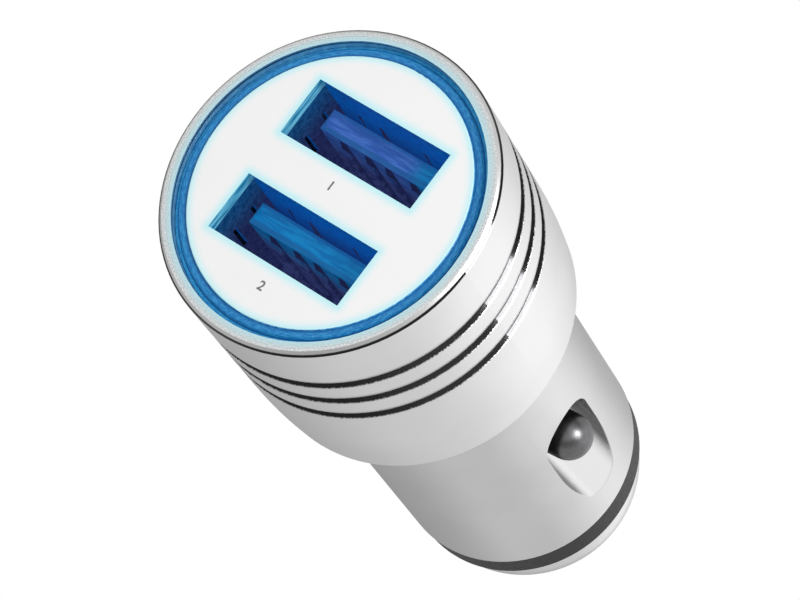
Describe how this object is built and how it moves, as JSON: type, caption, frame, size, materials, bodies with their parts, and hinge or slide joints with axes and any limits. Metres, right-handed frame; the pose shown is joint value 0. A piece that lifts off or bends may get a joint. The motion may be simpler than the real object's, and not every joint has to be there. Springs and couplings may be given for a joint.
{
  "type": "usb car charger",
  "caption": "Round metal car charger with flat-faced charging ports, a lit ring, grooves, sprung side contacts and a sprung tip.",
  "frame": {"origin": "centre of the round front face, on the plane of its rim", "axes": "+Z from the front face to the sprung tip, +X along the long side of the ports, +Y from port 1 to port 2"},
  "size_m": [0.0268, 0.0268, 0.0647],
  "materials": {
    "satin_shell": "satin turned aluminium with polished groove flanks",
    "white_plate": "glossy white moulded plastic",
    "blue_light_guide": "clear blue moulded plastic, lit from behind",
    "board_green": "glass epoxy board with solder mask",
    "lamp": "clear blue lamp",
    "black_mould": "black moulded plastic",
    "ferrite": "grey sintered ferrite",
    "copper_wire": "enamelled copper wire",
    "can": "drawn aluminium can",
    "ceramic": "ceramic with tinned ends",
    "nose_metal": "fine satin",
    "tip_metal": "polished nickel plate",
    "spring_steel": "spring steel wire",
    "contact_steel": "polished dark steel",
    "brass_plate": "tin-free brass sheet",
    "port_steel": "nickel-plated sheet steel",
    "port_blue": "translucent blue moulded plastic",
    "gold_strip": "gold-flashed strip"
  },
  "bodies": {
    "charger": {"housing": "satin_shell", "face_plate": "white_plate", "light_ring": "blue_light_guide", "main_board": "board_green", "led_1": "lamp", "led_2": "lamp", "converter_chip": "black_mould", "rectifier_diode": "black_mould", "inductor_core": "ferrite", "inductor_winding": "copper_wire", "input_capacitor": "can", "output_capacitor": "can", "chip_parts": "ceramic", "nose_insulator": "black_mould", "nose_cap": "nose_metal", "pin_spring": "spring_steel", "pin_terminal": "brass_plate", "port_1_shell": "port_steel", "port_2_shell": "port_steel", "port_1_insulator": "port_blue", "port_2_insulator": "port_blue", "port_1_contacts": "gold_strip", "port_2_contacts": "gold_strip", "contact_spring_1": "spring_steel", "contact_spring_2": "spring_steel", "contact_terminal_1": "brass_plate", "contact_terminal_2": "brass_plate"},
    "tip": {"centre_pin": "tip_metal"},
    "contact_1": {"side_contact_1": "contact_steel"},
    "contact_2": {"side_contact_2": "contact_steel"}
  },
  "joints": [
    {"name": "tip_press", "type": "slide", "parent": "charger", "child": "tip", "axis": [0, 0, -1], "range_m": [0, 0.0025], "stiffness_N_per_m": 400, "springref_m": -0.005, "deforming": ["pin_spring"]},
    {"name": "contact_1_press", "type": "slide", "parent": "charger", "child": "contact_1", "axis": [-0.9962, 0.0872, 0], "range_m": [0, 0.0013], "stiffness_N_per_m": 600, "springref_m": -0.0018, "deforming": ["contact_spring_1"]},
    {"name": "contact_2_press", "type": "slide", "parent": "charger", "child": "contact_2", "axis": [0.9962, -0.0872, 0], "range_m": [0, 0.0013], "stiffness_N_per_m": 600, "springref_m": -0.0018, "deforming": ["contact_spring_2"]}
  ]
}
